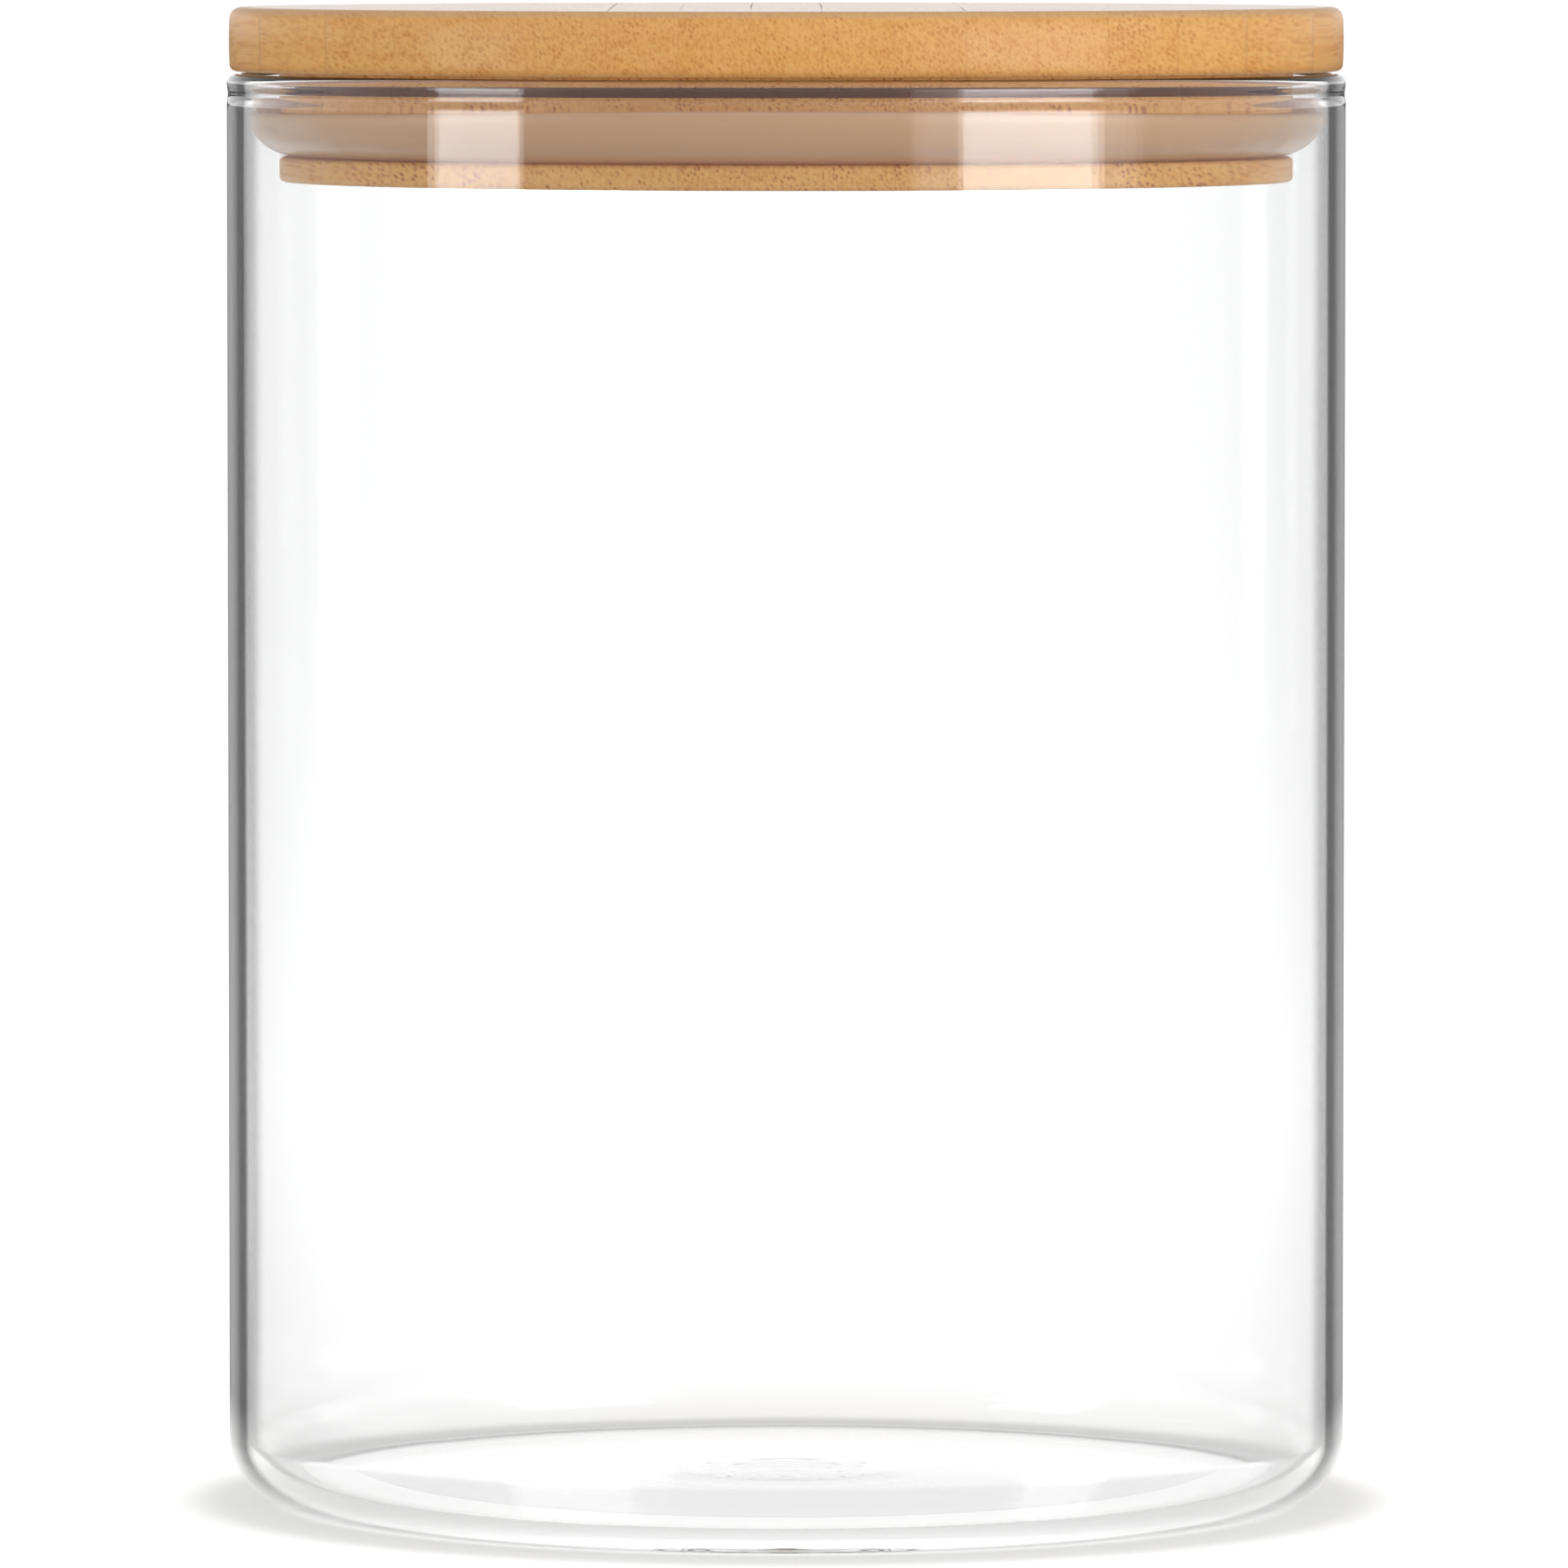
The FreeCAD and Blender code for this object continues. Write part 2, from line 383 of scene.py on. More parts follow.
def cut_strip(node):
    """A copy of the turned lid, cut off at both sides where the CAD strip ends."""
    low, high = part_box(node)
    strip = turned_lid.copy()
    strip.data = turned_lid.data.copy()
    strip.name = strip.data.name = "bamboo_" + node.removeprefix("lid_")
    bpy.context.scene.collection.objects.link(strip)
    bpy.ops.object.select_all(action="DESELECT")
    strip.select_set(True)
    bpy.context.view_layer.objects.active = strip
    bpy.ops.object.mode_set(mode="EDIT")
    for x, side in ((low.x, 1), (high.x, -1)):
        if abs(x) > outermost:
            continue
        bpy.ops.mesh.select_all(action="SELECT")
        bpy.ops.mesh.bisect(plane_co=(x, 0, 0), plane_no=(side, 0, 0), use_fill=True, clear_inner=True)
    bpy.ops.object.mode_set(mode="OBJECT")
    bpy.ops.object.shade_smooth_by_angle(angle=crease_angle)
    return strip


strip_nodes = sorted(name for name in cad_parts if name.startswith("lid_strip"))
strips = {node: cut_strip(node) for node in strip_nodes}
bpy.data.objects.remove(turned_lid)
strip_edges = [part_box(node)[0].x for node in strip_nodes[1:]]
strip_width = (strip_edges[-1] - strip_edges[0]) / (len(strip_edges) - 1)
print(f"{len(strips)} strips, each {strip_width / mm:.2f} mm wide")

# %% Each piece stands for its CAD node and rides on its body
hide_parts("glass_jar")
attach(jar, "jar")
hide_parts("seal_ring")
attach(seal, "seal")
for node, strip in strips.items():
    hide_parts(node)
    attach(strip, "lid")
print(f"{len(strips) + 2} pieces ride on the jar, the seal and the lid")

# %% [markdown]
# ## Materials
# All patterns are worked out from Object coordinates. Every piece's object sits at the origin, so those are
# millimetres in the canister's own frame once they are scaled, and a pattern runs through all strips as it
# would through one slab.


# %% Helpers: nodes
def new_material(name):
    """A material, its node tree, its shader and its output."""
    material = bpy.data.materials.new(name)
    material.use_nodes = True
    tree = material.node_tree
    return material, tree, tree.nodes["Principled BSDF"], tree.nodes["Material Output"]


def add_node(tree, kind, inputs=(), **settings):
    """A node with its settings. inputs pairs a socket's name or number with a value or a node's socket."""
    node = tree.nodes.new("ShaderNode" + kind)
    for key, value in settings.items():
        setattr(node, key, value)
    for key, value in dict(inputs).items():
        if isinstance(value, bpy.types.NodeSocket):
            tree.links.new(value, node.inputs[key])
        else:
            node.inputs[key].default_value = value
    return node


def calculate(tree, operation, *values):
    """The output of a Math node."""
    return add_node(tree, "Math", dict(enumerate(values)), operation=operation).outputs[0]


def distance(tree, first, second):
    """How long the way is that goes first in one direction and second square to it."""
    squares = [calculate(tree, "MULTIPLY", side, side) for side in (first, second)]
    return calculate(tree, "SQRT", calculate(tree, "ADD", *squares))


def remap(tree, value, low, high, to_low=0.0, to_high=1.0, smooth=True):
    """Maps low..high of a value to to_low..to_high, with soft or straight ends."""
    kind = "SMOOTHSTEP" if smooth else "LINEAR"
    ends = {"Value": value, "From Min": low, "From Max": high, "To Min": to_low, "To Max": to_high}
    return add_node(tree, "MapRange", ends, interpolation_type=kind).outputs["Result"]


def mix_values(tree, share, first, second):
    """A number between first and second."""
    return add_node(tree, "Mix", {0: share, 2: first, 3: second}, data_type="FLOAT").outputs[0]


def blend(tree, share, first, second):
    """A colour between first and second."""
    return add_node(tree, "Mix", {0: share, 6: first, 7: second}, data_type="RGBA").outputs[2]


def in_mm(tree):
    """The piece's Object coordinates in millimetres, as three separate numbers."""
    place = add_node(tree, "TexCoord").outputs["Object"]
    scaled = add_node(tree, "VectorMath", {0: place, 3: 1 / mm}, operation="SCALE").outputs[0]
    return add_node(tree, "SeparateXYZ", {0: scaled}).outputs


def point(tree, x, y, z):
    """Three numbers as one place."""
    return add_node(tree, "CombineXYZ", {0: x, 1: y, 2: z}).outputs[0]


def noise(tree, place, scale, detail, **more):
    """The output of a Noise Texture, from 0 to 1."""
    inputs = {"Vector": place, "Scale": scale, "Detail": detail, **more}
    return add_node(tree, "TexNoise", inputs).outputs["Fac"]


def let_light_through(tree, shader, out, colour):
    """Light that falls on what is behind a clear piece meets a Transparent shader, not the real one."""
    passing = add_node(tree, "BsdfTransparent", {"Color": colour}).outputs[0]
    path = add_node(tree, "LightPath").outputs
    soft = add_node(tree, "MixShader", {0: path["Is Diffuse Ray"], 1: shader.outputs[0], 2: passing})
    lamps = add_node(tree, "MixShader", {0: path["Is Shadow Ray"], 1: soft.outputs[0], 2: passing})
    tree.links.new(lamps.outputs[0], out.inputs["Surface"])


# %% [markdown]
# ### Group: handling marks
# Lacquered bamboo and silicone both take faint finger marks, which show only as patches of another gloss. The
# group is built once and used by both with their own sizes.

# %% Node group "handling marks"
marks = bpy.data.node_groups.new("handling_marks", "ShaderNodeTree")
for socket_name in ("Size mm", "Clean roughness", "Marked roughness"):
    marks.interface.new_socket(socket_name, in_out="INPUT", socket_type="NodeSocketFloat")
marks.interface.new_socket("Roughness", in_out="OUTPUT", socket_type="NodeSocketFloat")
given = marks.nodes.new("NodeGroupInput").outputs
smear_scale = calculate(marks, "DIVIDE", 1 / mm, given["Size mm"])
smear_place = add_node(marks, "VectorMath", {0: add_node(marks, "TexCoord").outputs["Object"], 3: smear_scale},
                       operation="SCALE").outputs[0]
smear = noise(marks, smear_place, 1.0, 3.0, Distortion=0.6)
marked = remap(marks, smear, 0.42, 0.66)
difference = calculate(marks, "SUBTRACT", given["Marked roughness"], given["Clean roughness"])
roughness = calculate(marks, "MULTIPLY_ADD", difference, marked, given["Clean roughness"])
marks_end = marks.nodes.new("NodeGroupOutput")
marks.links.new(roughness, marks_end.inputs["Roughness"])
print(f"{marks.name}: {len(marks.nodes)} nodes")


def handling_marks(tree, size, clean, marked):
    """The group's roughness. size is in millimetres."""
    group = tree.nodes.new("ShaderNodeGroup")
    group.node_tree = marks
    group.inputs["Size mm"].default_value = size
    group.inputs["Clean roughness"].default_value = clean
    group.inputs["Marked roughness"].default_value = marked
    return group.outputs["Roughness"]


# %% [markdown]
# ### Glass
# Borosilicate glass is almost colourless, and most of its look is what stands around it. Where the wall is
# seen edge-on, the eye's line runs through a long way of glass and out to a dark side of the room, which draws
# the grey outlines. Here the floor is bright on every side, so a Layer Weight takes over: it darkens the glass
# where its skin is seen at a flat angle. The outer skin gets one range of angles and the inner skin another.
# Lamps and soft light reach what is behind the glass through a Transparent shader that only shadow rays and
# diffuse rays meet: real glass lets light through as well, but tracing that light costs a noisy picture.

# %% Glass material: outer skin or inner skin, wall or floor
glass, tree, shader, out = new_material("borosilicate_glass")
x, y, z = in_mm(tree)
radius = distance(tree, x, y)
flat_radius = jar_radius - heel         # the wall's rounding starts here
past_flat = calculate(tree, "MAXIMUM", calculate(tree, "SUBTRACT", radius, flat_radius / mm), 0.0)
below_heel = calculate(tree, "MINIMUM", calculate(tree, "SUBTRACT", z, heel / mm), 0.0)
from_heel = distance(tree, past_flat, below_heel)
outer_skin = remap(tree, from_heel, (heel - wall * 0.6) / mm, (heel - wall * 0.4) / mm)
on_heel = remap(tree, radius, (flat_radius - 1 * mm) / mm, (flat_radius + 2 * mm) / mm)
near_floor = remap(tree, z, 0.0, 5.0, 0.6, 1.0)
wall_only = calculate(tree, "MULTIPLY", on_heel, near_floor)
print(f"{glass.name}: the darkening starts {(flat_radius - 1 * mm) / mm:.0f} mm from the axis")

# %% Glass material: where the skin is seen at a flat angle
# head_on is 1 where the skin is seen straight on and 0 at its outline. A clear of 1 leaves the glass as is.
outer_from = 0.235
inner_from = 0.14
facing = add_node(tree, "LayerWeight", {"Blend": 0.5}).outputs["Facing"]
head_on = calculate(tree, "SUBTRACT", 1.0, facing)
grazing = calculate(tree, "POWER", remap(tree, head_on, 0.0, 0.2, 1.0, 0.0, smooth=False), 1.3)
outer_clear = calculate(tree, "ADD", remap(tree, head_on, outer_from, 0.30, 0.02, 1.0), grazing)
inner_clear = remap(tree, head_on, inner_from, 0.25, 0.15, 1.0)
edge_clear = mix_values(tree, outer_skin, inner_clear, outer_clear)
edge_clear = calculate(tree, "MULTIPLY", edge_clear, remap(tree, head_on, 0.3, 0.85, 0.92, 1.0))
edge_clear = mix_values(tree, wall_only, 1.0, edge_clear)
print(f"outer skin is darkest at a head_on of {outer_from}, inner skin at {inner_from} and below")

# %% Glass material: the shader
black = (0, 0, 0, 1)
clear_glass = (0.99, 0.992, 0.992, 1)
light_behind_glass = (0.93, 0.94, 0.94, 1)
tree.links.new(blend(tree, edge_clear, black, clear_glass), shader.inputs["Base Color"])
shader.inputs["Roughness"].default_value = 0.0
shader.inputs["IOR"].default_value = 1.474
shader.inputs["Transmission Weight"].default_value = 1.0
let_light_through(tree, shader, out, light_behind_glass)
print(f"{glass.name}: {len(tree.nodes)} nodes")

# %% [markdown]
# ### Silicone
# Food-grade silicone is milky: light goes in, scatters and comes out softened, so the bamboo behind it tints
# it. Half of the shader is rough glass. Of the rest, half scatters light below the surface and half is matt.

# %% Silicone material
milky_tan = (0.74, 0.50, 0.31, 1)
light_behind_silicone = (0.85, 0.76, 0.66, 1)
silicone, tree, shader, out = new_material("translucent_silicone")
shader.inputs["Base Color"].default_value = milky_tan
shader.inputs["IOR"].default_value = 1.41
shader.inputs["Transmission Weight"].default_value = 0.5
shader.inputs["Subsurface Weight"].default_value = 0.5
shader.inputs["Subsurface Radius"].default_value = (1.0, 0.8, 0.6)
shader.inputs["Subsurface Scale"].default_value = 1.5 * mm
tree.links.new(handling_marks(tree, 6.0, 0.28, 0.4), shader.inputs["Roughness"])
let_light_through(tree, shader, out, light_behind_silicone)
print(f"{silicone.name}: {len(tree.nodes)} nodes")

# %% [markdown]
# ### Bamboo
# Bamboo has no rings: its fibres run in bundles, all along the culm. Cut across, a bundle is a dark dot in
# paler pith, and cut along, it is a thin streak. So the pattern is one solid that is hardly changing along Y:
# the same nodes draw dots on the front and back of the lid, and streaks on its top and sides.
# The culm's outer skin is denser than its inside, so the dots are darker towards one face of each strip. Each
# strip has a tone of its own, and many have somewhere along them the darker band of a joint of the culm.

# %% Bamboo material: strips and their tones
bamboo, tree, shader, out = new_material("lacquered_bamboo")
x, y, z = in_mm(tree)
disc_radius_mm = disc_radius / mm
disc_top_mm = disc_top / mm
disc_bottom_mm = disc_bottom / mm
strip_place = calculate(tree, "SUBTRACT", x, strip_edges[0] / mm)
strip_place = calculate(tree, "DIVIDE", strip_place, strip_width / mm)
strip_number = calculate(tree, "FLOOR", strip_place)
across = calculate(tree, "FRACT", strip_place)
tone = add_node(tree, "TexWhiteNoise", {"W": strip_number}, noise_dimensions="1D")
tone_value = tone.outputs["Value"]
joint_value = add_node(tree, "SeparateColor", {0: tone.outputs["Color"]}).outputs[1]
print(f"{bamboo.name}: strips counted from x = {strip_edges[0] / mm:.1f} mm")

# %% Bamboo material: the grain leans outwards on the turned sides
radius = distance(tree, x, y)
on_rim = remap(tree, radius, disc_radius_mm - 1.6, disc_radius_mm - 0.8)
on_plug = remap(tree, z, disc_bottom_mm - 0.1, disc_bottom_mm + 0.1, 1.0, 0.0)
on_side = calculate(tree, "MAXIMUM", on_rim, on_plug)
lean_rate = 0.007         # for each millimetre from the middle, towards the front or the back
lean = calculate(tree, "MULTIPLY", calculate(tree, "MULTIPLY", y, -lean_rate), on_side)
grain_x = calculate(tree, "MULTIPLY", x, calculate(tree, "ADD", lean, 1.0))
shift = calculate(tree, "MULTIPLY", tone_value, 37.0)


def in_slab(tree, widthways, lengthways, upwards):
    """A place in the slab, scaled each way and shifted for each strip. A small lengthways makes streaks."""
    return point(tree, calculate(tree, "MULTIPLY", grain_x, widthways),
                 calculate(tree, "MULTIPLY", y, lengthways),
                 calculate(tree, "MULTIPLY_ADD", z, upwards, shift))


print(f"grain leans by up to {lean_rate * disc_radius_mm:.2f} of its distance from the middle")

# %% Bamboo material: fibre bundles as long cells
wander_place = point(tree, calculate(tree, "MULTIPLY", x, 0.12), calculate(tree, "MULTIPLY", y, 0.03), z)
wander = noise(tree, wander_place, 0.6, 2.0)
bundle_place = point(tree, calculate(tree, "MULTIPLY_ADD", wander, 1.1, grain_x),
                     calculate(tree, "MULTIPLY_ADD", y, 0.02, shift),
                     calculate(tree, "MULTIPLY_ADD", z, 1.15, calculate(tree, "MULTIPLY", grain_x, 0.5)))
bundle_scale = 1.9        # bundles in a millimetre
bundles = add_node(tree, "TexVoronoi", {"Vector": bundle_place, "Scale": bundle_scale, "Randomness": 0.7})
from_bundle = bundles.outputs["Distance"]
crowd = remap(tree, across, 0.0, 1.0, 1.0, 0.6, smooth=False)
patches = noise(tree, in_slab(tree, 0.3, 0.02, 0.5), 1.0, 2.0)
crowd = calculate(tree, "MULTIPLY", crowd, remap(tree, patches, 0.38, 0.6, 0.35, 1.25))
dot = calculate(tree, "MULTIPLY", remap(tree, from_bundle, 0.12, 0.5, 1.0, 0.0), crowd)
pith = remap(tree, from_bundle, 0.4, 0.75, 0.0, 1.0)
print(f"bundles are about {1 / bundle_scale:.2f} mm apart")

# %% Bamboo material: fine fibres, glue lines and joints of the culm
fibres = noise(tree, in_slab(tree, 3.2, 0.07, 3.2), 1.0, 4.0, Roughness=0.6)
broad = noise(tree, in_slab(tree, 0.22, 0.02, 0.8), 1.0, 3.0)
from_edge = calculate(tree, "MINIMUM", across, calculate(tree, "SUBTRACT", 1.0, across))
glue = remap(tree, calculate(tree, "MULTIPLY", from_edge, strip_width / mm), 0.02, 0.16, 1.0, 0.0)
joint_reach = 75.0        # joints lie up to this far to the front and back, some of them outside the lid
joint_at = calculate(tree, "MULTIPLY_ADD", joint_value, 2 * joint_reach, -joint_reach)
joint_bend = calculate(tree, "MULTIPLY", fibres, 1.2)
joint_gap = calculate(tree, "SUBTRACT", calculate(tree, "ADD", y, joint_bend), joint_at)
joint = remap(tree, calculate(tree, "ABSOLUTE", joint_gap), 0.3, 1.8, 1.0, 0.0)
print(f"joints lie up to {joint_reach:.0f} mm from the middle, the lid's edge at {disc_radius_mm:.0f} mm")

# %% Bamboo material: a worn top edge with painted shade, and painted shade on the lower edge and in the relief groove
# The top round is painted greyer: partly wear, partly painted shade and a dull painted reflection.
near_top = remap(tree, z, disc_top_mm - 0.9, disc_top_mm - 0.2)
near_rim = remap(tree, radius, disc_radius_mm - 2.2, disc_radius_mm - 1.2)
worn_and_shaded_top_edge = calculate(tree, "MULTIPLY", near_top, near_rim)
# Painted shade: the disc's lower round is painted darker, where it turns down away from the light.
near_bottom = remap(tree, z, disc_bottom_mm + 0.2, disc_bottom_mm + 1.1, 1.0, 0.0)
painted_low_shade = calculate(tree, "MULTIPLY", near_bottom, on_rim)
# Painted shade: the relief groove just below the disc is painted dark brown, where little light reaches.
in_relief = remap(tree, radius, plug_radius / mm - 0.5, plug_radius / mm - 0.1, 1.0, 0.0)
above_relief = calculate(tree, "GREATER_THAN", z, relief_bottom / mm - 0.05)
below_disc = calculate(tree, "LESS_THAN", z, disc_bottom_mm - 0.2)
painted_groove_shade = calculate(tree, "MULTIPLY", calculate(tree, "MULTIPLY", in_relief, above_relief), below_disc)

# %% Bamboo material: the dots are stronger on the plug and weaker on the lid's left and right
far_sideways = remap(tree, calculate(tree, "ABSOLUTE", x), 34.0, 47.0)
sideways = calculate(tree, "MULTIPLY", on_side, far_sideways)
dot_depth = remap(tree, on_plug, 0.0, 1.0, 0.48, 0.95, smooth=False)
dot_depth = calculate(tree, "MULTIPLY", dot_depth, calculate(tree, "MULTIPLY_ADD", sideways, -0.7, 1.0))

# %% Bamboo material: colours
pale = (0.74, 0.41, 0.135, 1)
tan = (0.66, 0.30, 0.07, 1)
dark_fibre = (0.40, 0.13, 0.028, 1)
# The grey of the top round is partly wear and partly painted shade.
grey_wear_and_shade = (0.50, 0.33, 0.18, 1)
# groove_shade_brown is the colour of the painted shade in the relief groove.
groove_shade_brown = (0.18, 0.04, 0.012, 1)
colour = blend(tree, remap(tree, tone_value, 0.0, 1.0, 0.25, 0.5, smooth=False), pale, tan)
colour = blend(tree, remap(tree, broad, 0.35, 0.7, 0.0, 0.75), colour, tan)
colour = blend(tree, calculate(tree, "MULTIPLY", pith, 0.5), colour, pale)
colour = blend(tree, remap(tree, fibres, 0.45, 0.75, 0.0, 0.4), colour, dark_fibre)
colour = blend(tree, calculate(tree, "MULTIPLY", dot, dot_depth), colour, dark_fibre)
colour = blend(tree, calculate(tree, "MULTIPLY", joint, 0.25), colour, dark_fibre)
colour = blend(tree, calculate(tree, "MULTIPLY", glue, 0.12), colour, dark_fibre)
# Wear and painted shade on the top round.
colour = blend(tree, calculate(tree, "MULTIPLY", worn_and_shaded_top_edge, 0.6), colour, grey_wear_and_shade)
# Painted shade on the disc's lower round.
colour = blend(tree, calculate(tree, "MULTIPLY", painted_low_shade, 0.2), colour, dark_fibre)
# Painted shade in the relief groove.
colour = blend(tree, calculate(tree, "MULTIPLY", painted_groove_shade, 0.95), colour, groove_shade_brown)
tree.links.new(colour, shader.inputs["Base Color"])

# %% Bamboo material: lacquer and surface
flat_top = remap(tree, z, disc_top_mm - 0.6, disc_top_mm - 0.1)
inside_rim = remap(tree, radius, disc_radius_mm - 2.2, disc_radius_mm - 1.2, 1.0, 0.0)
on_top = calculate(tree, "MULTIPLY", flat_top, inside_rim)
lacquer = calculate(tree, "MULTIPLY_ADD", on_top, 0.65, remap(tree, on_plug, 0.0, 1.0, 0.35, 0.1))
tree.links.new(lacquer, shader.inputs["Coat Weight"])
shader.inputs["Coat Roughness"].default_value = 0.18
shader.inputs["Specular IOR Level"].default_value = 0.2
gloss = calculate(tree, "MULTIPLY_ADD", dot, 0.12, handling_marks(tree, 14.0, 0.42, 0.52))
tree.links.new(gloss, shader.inputs["Roughness"])
height = calculate(tree, "MULTIPLY_ADD", dot, -0.5, calculate(tree, "MULTIPLY", fibres, -0.4))
height = calculate(tree, "MULTIPLY_ADD", glue, -0.2, height)
bump = add_node(tree, "Bump", {"Height": height, "Strength": 0.35, "Distance": 0.03 * mm})
tree.links.new(bump.outputs[0], shader.inputs["Normal"])
print(f"{bamboo.name}: {len(tree.nodes)} nodes")

# %% Put the materials on
for piece, material in [(jar, glass), (seal, silicone), *((strip, bamboo) for strip in strips.values())]:
    piece.data.materials.clear()
    piece.data.materials.append(material)
print("glass on the jar, silicone on the seal, bamboo on", len(strips), "strips")

# %% [markdown]
# ## The studio
# Clear glass on white is lit as a bright field: everything straight behind it is white. The floor is a large
# white plane that glows a little, brightest far away and under the jar, where the stronger glow is a painted
# pool of light, and least close around the jar's foot, where the weaker glow is a painted contact shadow.
# Mirrored rays meet a dimmer floor, and the room is dimmer above, so that the front of the glass doesn't veil
# what is behind it. Light that falls on wood and silicone has a strength of its own.


# %% The floor
def stage_object(name):
    """Names the object that was just added, and applies its transform."""
    piece = bpy.context.object
    piece.name = piece.data.name = name
    bpy.ops.object.transform_apply(location=True, rotation=True, scale=True)
    return piece


bpy.ops.object.select_all(action="DESELECT")
bpy.ops.mesh.primitive_plane_add(size=80, location=(0, 0, 0))
floor = stage_object("pale_floor")
print(f"floor {floor.dimensions.x:.0f} m wide")

# %% The floor's paint: how it glows
pale_paint = (0.75, 0.75, 0.75, 1)
white = (1, 1, 1, 1)
floor_paint, tree, shader, out = new_material("pale_floor_paint")
shader.inputs["Base Color"].default_value = pale_paint
shader.inputs["Roughness"].default_value = 0.9
shader.inputs["Specular IOR Level"].default_value = 0.0
shader.inputs["Emission Color"].default_value = white
place = add_node(tree, "TexCoord").outputs["Object"]
far = add_node(tree, "VectorMath", {0: place}, operation="LENGTH").outputs["Value"]
# Painted light under the jar and a painted contact shadow round its foot: the glow is high under the jar, low
# from 47 to 50 mm, and rises again beyond.
under = remap(tree, far, 0.042, 0.047, 0.60, 0.18)
beside = remap(tree, far, 0.050, 0.056, 0.0, 0.27)
beyond = remap(tree, far, 0.056, 0.5, 0.0, 0.16)
glow = calculate(tree, "ADD", under, calculate(tree, "ADD", beside, beyond))
tree.links.new(glow, shader.inputs["Emission Strength"])

# %% The floor's paint: what mirrored and soft light meets
dim_paint = (0.2, 0.2, 0.2, 1)
path = add_node(tree, "LightPath").outputs
mirrored = calculate(tree, "MULTIPLY", path["Is Reflection Ray"], remap(tree, far, 0.055, 0.12))
dim = add_node(tree, "BsdfDiffuse", {"Color": dim_paint}).outputs[0]
plain = add_node(tree, "BsdfDiffuse", {"Color": pale_paint}).outputs[0]
seen = add_node(tree, "MixShader", {0: mirrored, 1: shader.outputs[0], 2: dim}).outputs[0]
seen = add_node(tree, "MixShader", {0: path["Is Diffuse Ray"], 1: seen, 2: plain}).outputs[0]
tree.links.new(seen, out.inputs["Surface"])
floor_paint.cycles.emission_sampling = "NONE"
floor.data.materials.append(floor_paint)
print(f"{floor_paint.name}: {len(tree.nodes)} nodes")

# %% The room
world = bpy.data.worlds.new("white_room")
bpy.context.scene.world = world
world.use_nodes = True
world.cycles.sampling_method = "NONE"
tree = world.node_tree
up = add_node(tree, "SeparateXYZ", {0: add_node(tree, "TexCoord").outputs["Generated"]}).outputs[2]
soft_light = remap(tree, up, -0.05, 0.8, 0.45, 0.65)
room = remap(tree, up, 0.05, 0.3, 1.1, 0.45)
is_light = add_node(tree, "LightPath").outputs["Is Diffuse Ray"]
strength = mix_values(tree, is_light, room, soft_light)
tree.links.new(strength, tree.nodes["Background"].inputs["Strength"])
tree.nodes["Background"].inputs["Color"].default_value = white
print(f"{world.name}: {len(tree.nodes)} nodes")

# %% [markdown]
# Two upright softboxes stand in front, left and right, the right one with a wide, faint spill around it, and a
# weaker one above lights the top of the lid. A round jar squeezes whatever it mirrors into a narrow stripe.
# Only the lowest part of each softbox shows as a stripe in the glass, so that part is a lamp of its own that
# gloss can see. The rest is hidden from gloss, or from some sides it would cover the whole lacquered lid with
# one white mirror image.

# %% Softboxes
lamp_aim = Vector((0, 0, 0.08))


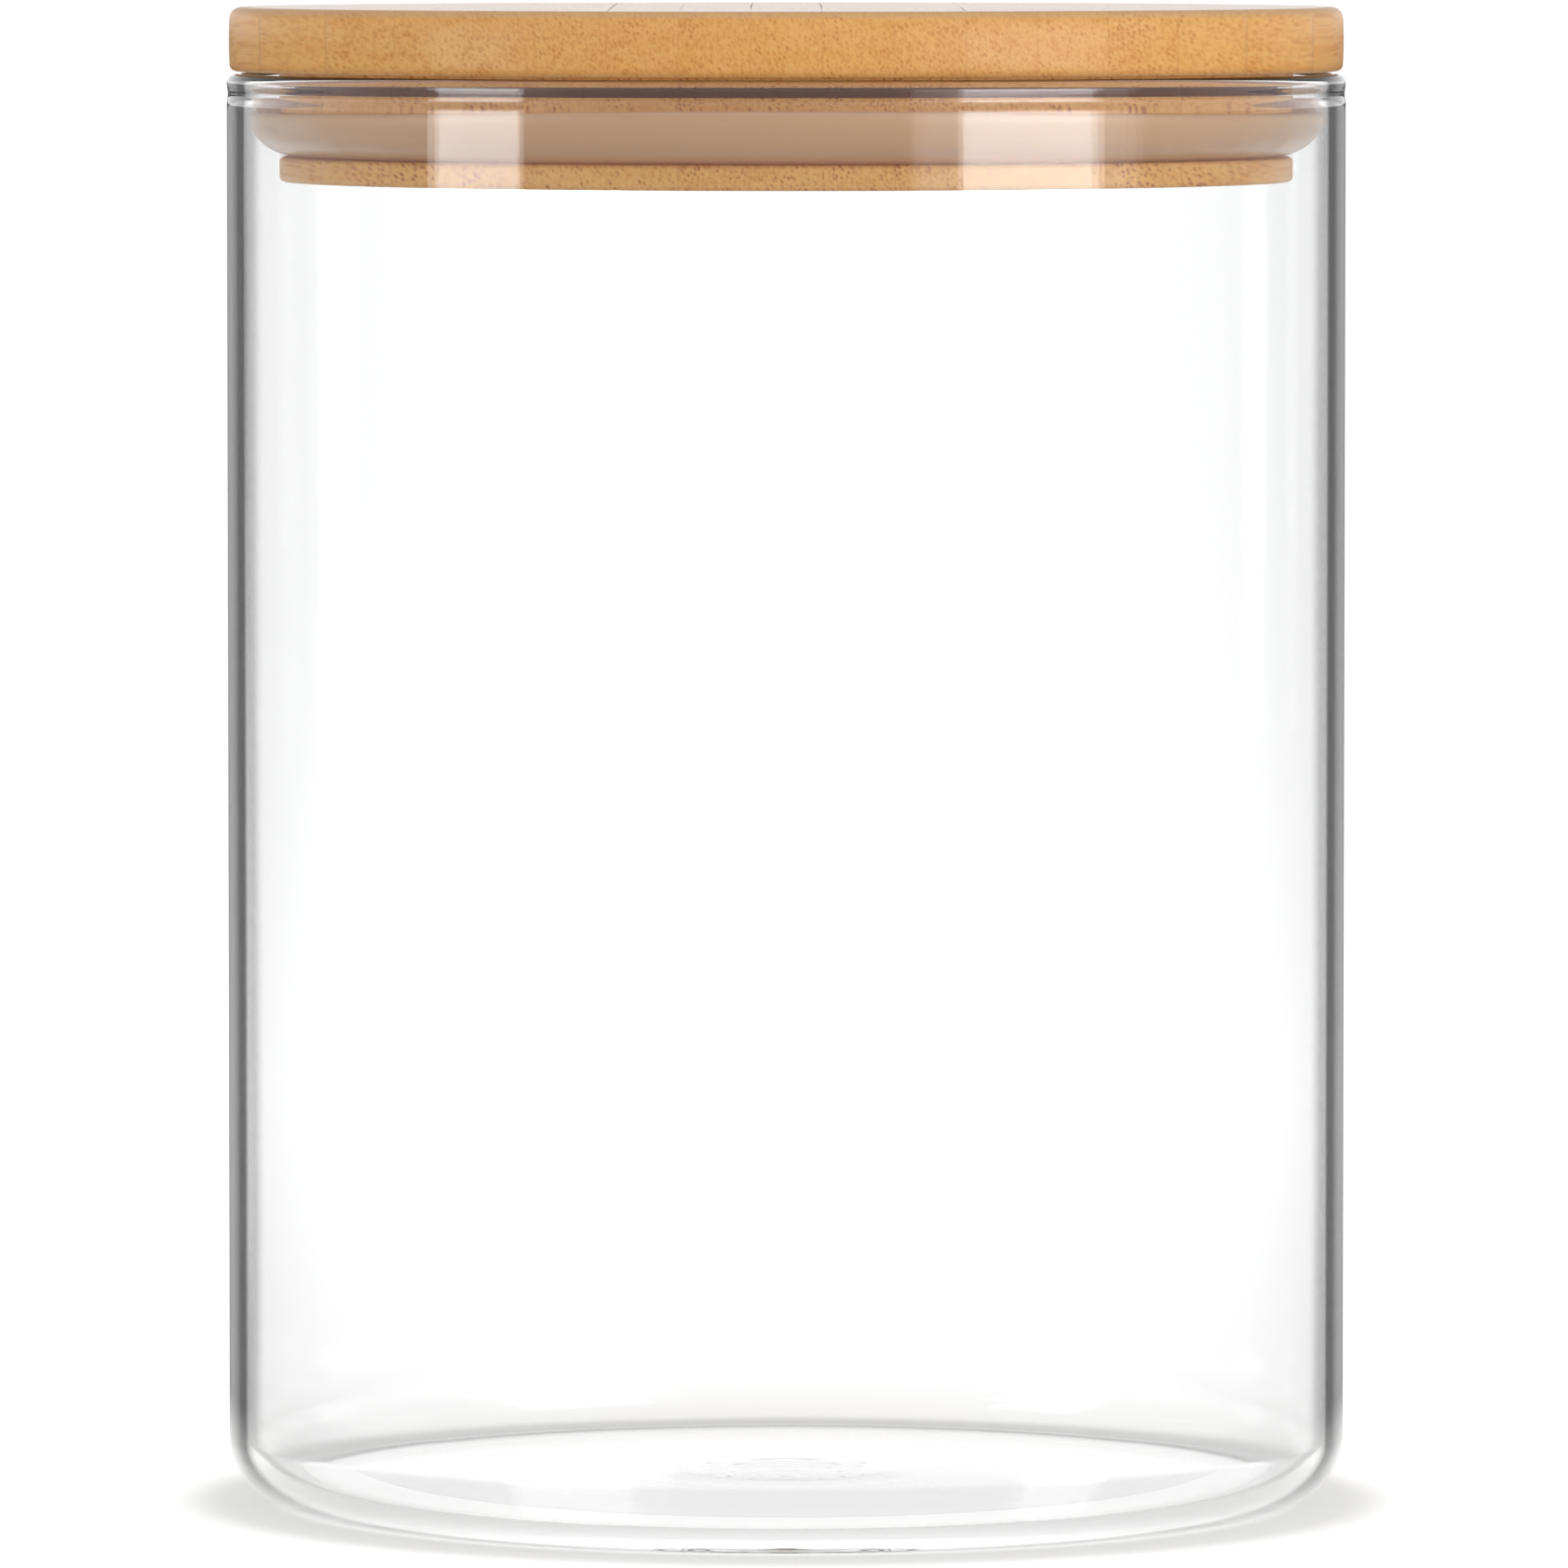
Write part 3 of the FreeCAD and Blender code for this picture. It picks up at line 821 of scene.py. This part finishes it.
def softbox(name, turn, distance, centre, width, tall, brightness, mirrored):
    """An area lamp of a given brightness. turn is in degrees from the camera's side, positive to the right.

    A mirrored lamp shows only in gloss and glass, and any other lights only wood, silicone and floor.
    """
    light = bpy.data.lights.new(name, "AREA")
    light.shape = "RECTANGLE"
    light.size, light.size_y = width, tall
    light.energy = brightness * math.pi * width * tall
    lamp = bpy.data.objects.new(name, light)
    bpy.context.scene.collection.objects.link(lamp)
    side = math.radians(turn)
    lamp.location = (distance * math.sin(side), -distance * math.cos(side), centre)
    aim = lamp_aim - lamp.location
    lamp.rotation_euler = aim.to_track_quat("-Z", "Y").to_euler()
    lamp.visible_camera = False
    lamp.visible_glossy = mirrored
    lamp.visible_diffuse = not mirrored
    print(f"{name}: {light.energy:.1f} W")


# Each: name, turn, distance, height of its centre, width, height, brightness, mirrored. Lengths are in metres.
softbox("left_softbox", -66, 1.1, 0.45, 0.42, 0.9, 3.2, False)
softbox("right_softbox", 51, 1.1, 0.45, 0.62, 0.9, 3.0, False)
softbox("right_spill", 51, 1.2, 0.5, 1.15, 1.0, 0.6, False)
softbox("top_softbox", 20, 0.35, 1.3, 0.6, 0.6, 0.7, False)
softbox("left_reflection", -66, 1.1, 0.1, 0.42, 0.2, 3.2, True)
softbox("right_reflection", 51, 1.1, 0.1, 0.62, 0.2, 3.0, True)
softbox("right_glow", 51, 1.2, 0.11, 1.15, 0.22, 0.8, True)

# %% [markdown]
# ## Camera
# A long lens far away, a little above the lid, looks slightly down. From there the lid's top is a thin sliver
# and the floor of the jar a flat ellipse.

# %% Camera
camera_side = -0.0002
camera_distance = 1.319
camera_height = 0.1455
aim_height = 0.0644
lens_mm = 338.3
camera = bpy.data.objects.new("camera", bpy.data.cameras.new("camera"))
bpy.context.scene.collection.objects.link(camera)
camera.data.lens = lens_mm
camera.data.sensor_width = 36
camera.data.clip_end = 200
camera.location = (camera_side, -camera_distance, camera_height)
aim = Vector((camera_side, 0, aim_height)) - camera.location
camera.rotation_euler = aim.to_track_quat("-Z", "Y").to_euler()
bpy.context.scene.camera = camera
print(f"camera looks down by {math.degrees(math.atan2(-aim.z, aim.y)):.1f} degrees")

# %% [markdown]
# Light that is caught in the thick glass of the floor and heel bounces to and fro many times before it leaves.
# With too few bounces it is given up on the way, and black slivers show there.

# %% Colours as they are, and enough bounces for glass
bounces = 40
bpy.context.scene.view_settings.view_transform = "Standard"
cycles = bpy.context.scene.cycles
cycles.max_bounces = bounces
cycles.glossy_bounces = bounces
cycles.transmission_bounces = bounces
cycles.transparent_max_bounces = 16
print(f"up to {bounces} bounces")
